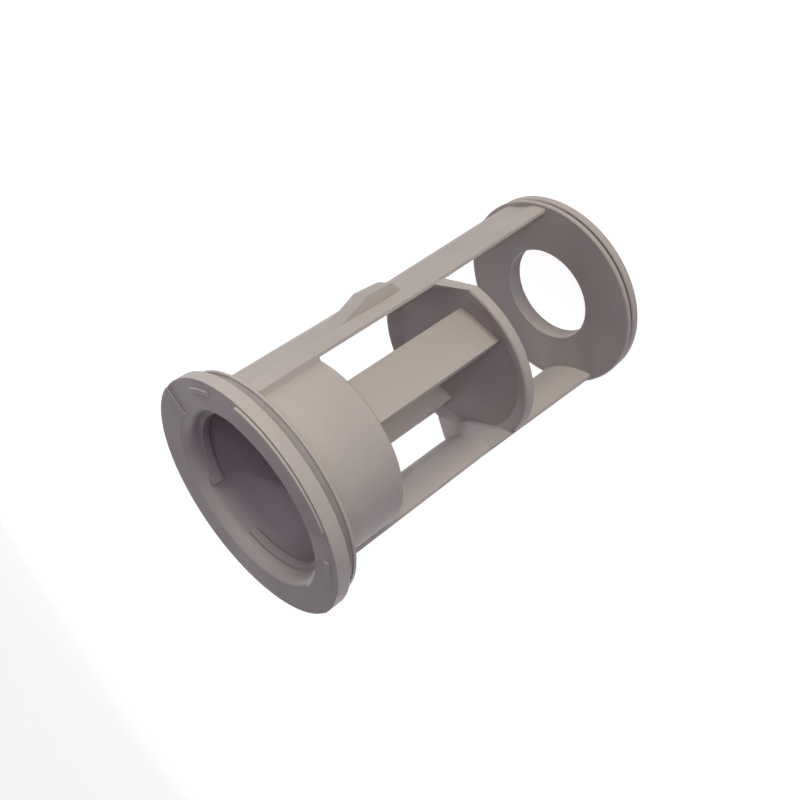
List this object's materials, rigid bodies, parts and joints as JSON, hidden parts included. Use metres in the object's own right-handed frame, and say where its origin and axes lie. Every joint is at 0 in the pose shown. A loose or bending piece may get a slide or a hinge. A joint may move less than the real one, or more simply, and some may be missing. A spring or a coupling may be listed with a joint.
{
  "type": "washing machine filter",
  "caption": "Moulded plastic pump filter insert: open cup with bayonet mouth and seal seat, flat bars to a tray disc, two long rails and a ring with a round hole at the far end.",
  "frame": {"origin": "centre of the far ring's rear face, which the part stands on", "axes": "+Z along the axis of the cup towards the mouth, X through the two long rails"},
  "size_m": [0.062, 0.062, 0.1106],
  "materials": {
    "filter_body": "satin moulded polypropylene, warm grey"
  },
  "bodies": {
    "root": {"filter_body": "filter_body"}
  },
  "joints": []
}
